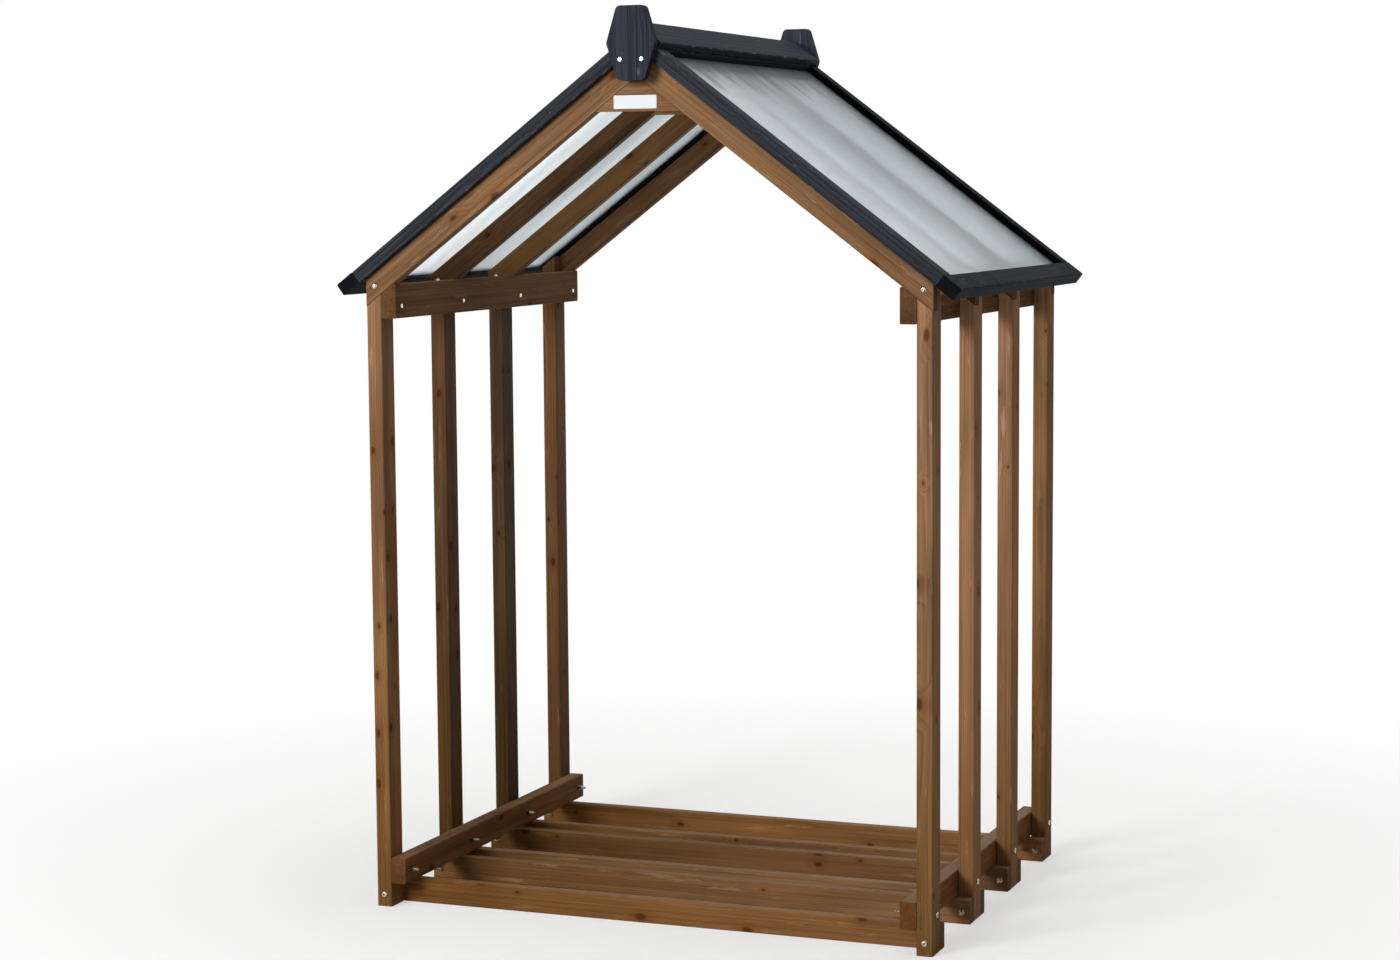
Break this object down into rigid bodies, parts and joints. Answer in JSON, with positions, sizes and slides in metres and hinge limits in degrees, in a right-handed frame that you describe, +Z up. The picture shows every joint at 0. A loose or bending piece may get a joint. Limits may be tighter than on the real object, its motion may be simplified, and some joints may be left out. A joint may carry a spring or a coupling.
{
  "type": "log store",
  "caption": "Open timber log store: notched posts, rails and bearers carry paired rafters and a pitched roof of translucent sheets framed in black trim, with ridge boards and end finials",
  "frame": {"origin": "on the ground in the middle of the footprint", "axes": "+X to the right seen from the front, -Y to the front gable, +Z up"},
  "size_m": [1.3176, 0.982, 1.8316],
  "materials": {
    "stained_timber": "brown-stained planed softwood, knots showing",
    "black_trim": "black painted planed softwood, grain showing, thin at the edges",
    "roof_sheet": "frosted translucent sheet with a soft sheen"
  },
  "bodies": {
    "root": {"left_post_1": "stained_timber", "left_post_2": "stained_timber", "left_post_3": "stained_timber", "left_post_4": "stained_timber", "right_post_1": "stained_timber", "right_post_2": "stained_timber", "right_post_3": "stained_timber", "right_post_4": "stained_timber", "left_bottom_rail": "stained_timber", "right_bottom_rail": "stained_timber", "left_top_rail": "stained_timber", "right_top_rail": "stained_timber", "bearer_1": "stained_timber", "bearer_2": "stained_timber", "bearer_3": "stained_timber", "bearer_4": "stained_timber", "bearer_5": "stained_timber", "bearer_6": "stained_timber", "left_rafter_1": "stained_timber", "left_rafter_2": "stained_timber", "left_rafter_3": "stained_timber", "left_rafter_4": "stained_timber", "right_rafter_1": "stained_timber", "right_rafter_2": "stained_timber", "right_rafter_3": "stained_timber", "right_rafter_4": "stained_timber", "gusset_1": "stained_timber", "gusset_2": "stained_timber", "gusset_3": "stained_timber", "gusset_4": "stained_timber", "left_front_verge": "black_trim", "right_front_verge": "black_trim", "left_rear_verge": "black_trim", "right_rear_verge": "black_trim", "left_eave_board": "black_trim", "right_eave_board": "black_trim", "left_head_board": "black_trim", "right_head_board": "black_trim", "left_ridge_board": "black_trim", "right_ridge_board": "black_trim", "front_finial": "black_trim", "rear_finial": "black_trim", "left_roof_sheet": "roof_sheet", "right_roof_sheet": "roof_sheet"}
  },
  "joints": []
}
